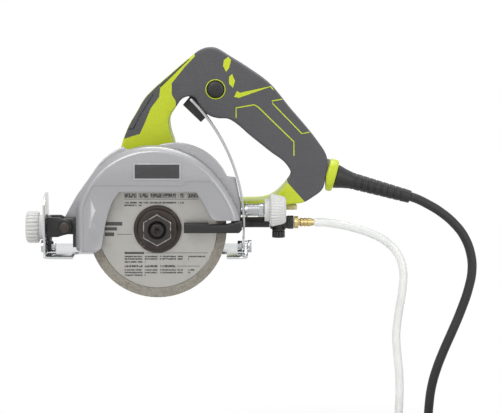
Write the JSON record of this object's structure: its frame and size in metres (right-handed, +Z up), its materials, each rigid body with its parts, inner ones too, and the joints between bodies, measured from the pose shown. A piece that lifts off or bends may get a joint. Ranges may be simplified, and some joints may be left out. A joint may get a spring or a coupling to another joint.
{
  "type": "tile cutter",
  "caption": "Hand-held wet tile cutter: guarded diamond blade, geared motor, D-handle with trigger, tilting and depth-set sole, water feed, cord and hose.",
  "frame": {"origin": "middle of the hand grip, where a hand holds the tool up", "axes": "+X towards the cord end, +Y from the blade to the motor, +Z up from the sole; the blade's arbor lies along Y"},
  "size_m": [0.406, 0.1988, 0.3182],
  "materials": {
    "hard_shell": "lime moulded plastic, light grain",
    "overmould": "dark grey soft grip",
    "black_plastic": "black, fine grain",
    "casting": "die-cast, silver painted",
    "bright_steel": "zinc plated",
    "dark_steel": "black oxide",
    "blade_steel": "ground, warm grey",
    "diamond": "gritty sintered rim",
    "brass": "turned",
    "knob": "light grey, moulded",
    "tan_plastic": "beige, moulded",
    "copper": "windings",
    "carbon": "pressed carbon",
    "clear_hose": "clear vinyl"
  },
  "bodies": {
    "head": {"blade_guard": "casting", "guard_badge": "black_plastic", "gear_case": "casting", "motor_housing": "hard_shell", "motor_end_cap": "overmould", "stator": "dark_steel", "carbon_brush_left": "carbon", "carbon_brush_right": "carbon", "spindle_bearing_front": "bright_steel", "spindle_bearing_rear": "bright_steel", "armature_bearing_front": "bright_steel", "armature_bearing_rear": "bright_steel", "handle_shell_near": "hard_shell", "handle_shell_far": "hard_shell", "grip_overmould_near": "overmould", "grip_overmould_far": "overmould", "switch_body": "black_plastic", "trigger_pin": "bright_steel", "handle_screw_front": "bright_steel", "handle_screw_rear": "bright_steel", "foot_boss": "tan_plastic", "pivot_block": "black_plastic", "clamp_spacer": "bright_steel", "depth_clamp_bolt": "bright_steel", "water_pipe": "black_plastic", "valve_body": "black_plastic", "hose_barb": "brass", "nozzle_arm": "black_plastic", "cord_collar": "hard_shell", "strain_relief": "black_plastic", "cord_tube": "black_plastic", "cord_coil": "black_plastic", "plug_body": "black_plastic", "plug_pins": "brass", "hose_tube": "clear_hose", "hose_coil": "clear_hose", "tap_connector": "black_plastic"},
    "spindle": {"spindle": "bright_steel", "spindle_gear": "bright_steel", "inner_flange": "dark_steel", "blade_core": "blade_steel", "diamond_rim": "diamond", "outer_flange": "dark_steel", "clamp_nut": "dark_steel"},
    "armature": {"armature_shaft": "bright_steel", "armature_core": "copper", "commutator": "copper", "cooling_fan": "black_plastic"},
    "trigger": {"trigger": "black_plastic"},
    "lock_button": {"lock_button": "black_plastic"},
    "depth_frame": {"front_bracket": "black_plastic", "depth_pivot_pin": "bright_steel", "bevel_clamp_bolt": "bright_steel", "depth_strip": "bright_steel"},
    "shoe": {"base_plate": "bright_steel", "bevel_pivot_front": "bright_steel", "bevel_pivot_rear": "bright_steel"},
    "bevel_knob": {"bevel_knob": "knob"},
    "depth_knob": {"depth_knob": "knob"},
    "valve_knob": {"valve_knob": "black_plastic"}
  },
  "joints": [
    {"name": "spindle_spin", "type": "hinge", "parent": "head", "child": "spindle", "pos_m": [-0.07, -0.0444, -0.092], "axis": [0, 1, 0], "continuous": true},
    {"name": "armature_spin", "type": "hinge", "parent": "head", "child": "armature", "pos_m": [-0.07556, -0.0444, -0.07488], "axis": [0, 1, 0], "continuous": true},
    {"name": "trigger_pull", "type": "hinge", "parent": "head", "child": "trigger", "pos_m": [-0.0458, 0, 0.007], "axis": [0, -1, 0], "range_deg": [0, 5], "stiffness_Nm_per_rad": 0.05, "springref_deg": -17.19},
    {"name": "lock_press", "type": "slide", "parent": "head", "child": "lock_button", "axis": [0, 1, 0], "range_m": [0, 0.002], "stiffness_N_per_m": 300, "springref_m": -0.002},
    {"name": "depth_tilt", "type": "hinge", "parent": "head", "child": "depth_frame", "pos_m": [-0.1385, -0.0444, -0.0909], "axis": [0, 1, 0], "range_deg": [0, 24]},
    {"name": "bevel_tilt", "type": "hinge", "parent": "depth_frame", "child": "shoe", "pos_m": [-0.07, -0.0404, -0.1054], "axis": [-1, 0, 0], "range_deg": [0, 45]},
    {"name": "bevel_knob_turn", "type": "hinge", "parent": "depth_frame", "child": "bevel_knob", "pos_m": [-0.162, -0.0394, -0.0912], "axis": [1, 0, 0], "range_deg": [0, 270]},
    {"name": "depth_knob_turn", "type": "hinge", "parent": "head", "child": "depth_knob", "pos_m": [0.0185, -0.0324, -0.0793], "axis": [1, 0, 0], "range_deg": [0, 270]},
    {"name": "valve_turn", "type": "hinge", "parent": "head", "child": "valve_knob", "pos_m": [0.0193, -0.0174, -0.0965], "axis": [0, 0, 1], "range_deg": [0, 90]}
  ],
  "couplings": [
    {"joint": "armature_spin", "follows": "spindle_spin", "ratio": -4}
  ]
}
